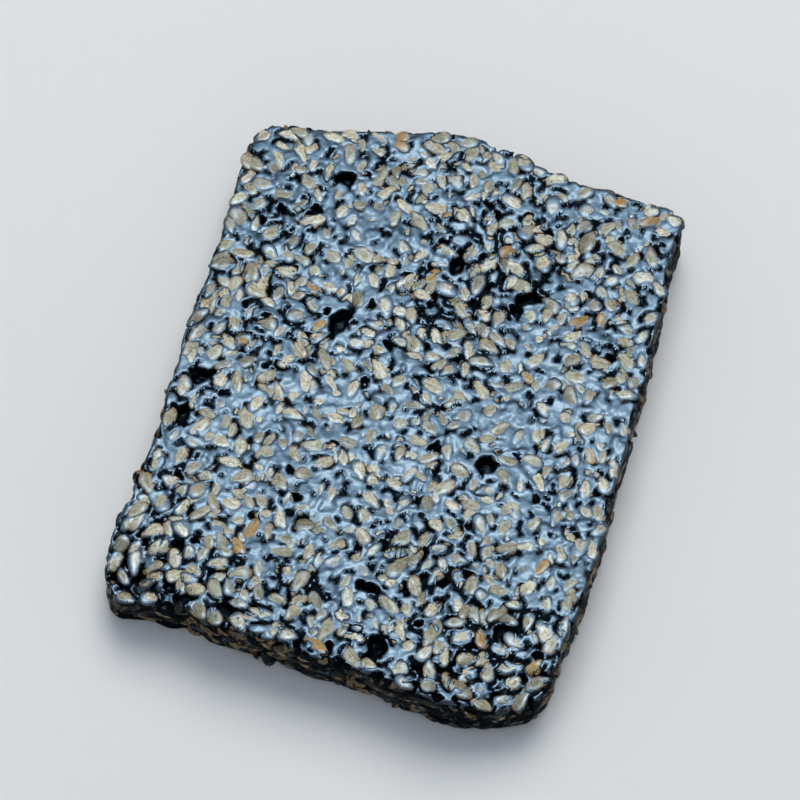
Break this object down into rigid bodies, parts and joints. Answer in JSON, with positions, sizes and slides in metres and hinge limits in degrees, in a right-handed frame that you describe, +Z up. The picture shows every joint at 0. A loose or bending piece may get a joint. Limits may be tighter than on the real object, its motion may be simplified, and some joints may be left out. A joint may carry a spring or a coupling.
{
  "type": "black sesame cake",
  "caption": "Thin hand-cut slab of set black syrup packed with pale sesame seeds, with uneven edges, open pits and a flat underside to rest on.",
  "frame": {"origin": "middle of the slab on its flat underside", "axes": "+Z up out of the seeded top, +Y along the longer side towards the bent back edge, +X to the right"},
  "size_m": [0.0573, 0.0719, 0.0093],
  "materials": {
    "black_syrup": "glossy set syrup, nearly black",
    "sesame_seed": "hulled sesame seed under a thin film of syrup"
  },
  "bodies": {
    "root": {"sesame_cake": "black_syrup"}
  },
  "joints": []
}
